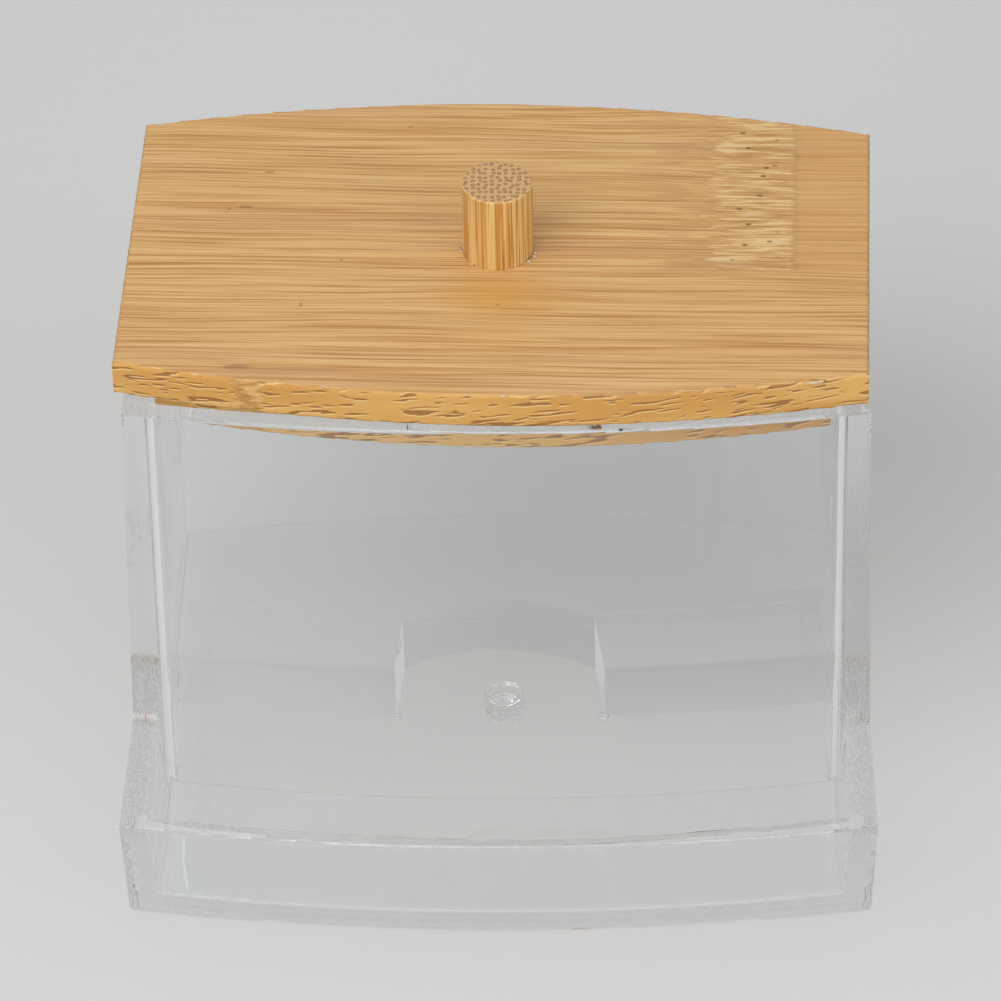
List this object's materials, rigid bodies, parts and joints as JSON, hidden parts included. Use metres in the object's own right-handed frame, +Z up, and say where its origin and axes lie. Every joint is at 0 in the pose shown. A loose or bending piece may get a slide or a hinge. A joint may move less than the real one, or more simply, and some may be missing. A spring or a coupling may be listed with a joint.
{
  "type": "swab dispenser box",
  "caption": "Clear plastic swab dispenser box with bowed front and back, an open front tray and finger notch, and a bamboo lift-off lid with a dowel knob.",
  "frame": {"origin": "middle of the object's outline seen from above, on the plane the box stands on", "axes": "+X along the width of the box, to the right when the tray is seen from the front; +Y from the tray towards the back wall; +Z up through the knob"},
  "size_m": [0.0976, 0.0891, 0.082],
  "materials": {
    "clear_plastic": "glossy, clear",
    "bamboo": "fine sanded, thin clear oil",
    "bamboo_dowel": "fine sanded, thin clear oil"
  },
  "bodies": {
    "box": {"body": "clear_plastic"},
    "lid": {"lid": "bamboo", "knob": "bamboo_dowel"}
  },
  "joints": [
    {"name": "lid_lift", "type": "slide", "parent": "box", "child": "lid", "axis": [0, 0, 1], "range_m": [0, 0.06]}
  ]
}
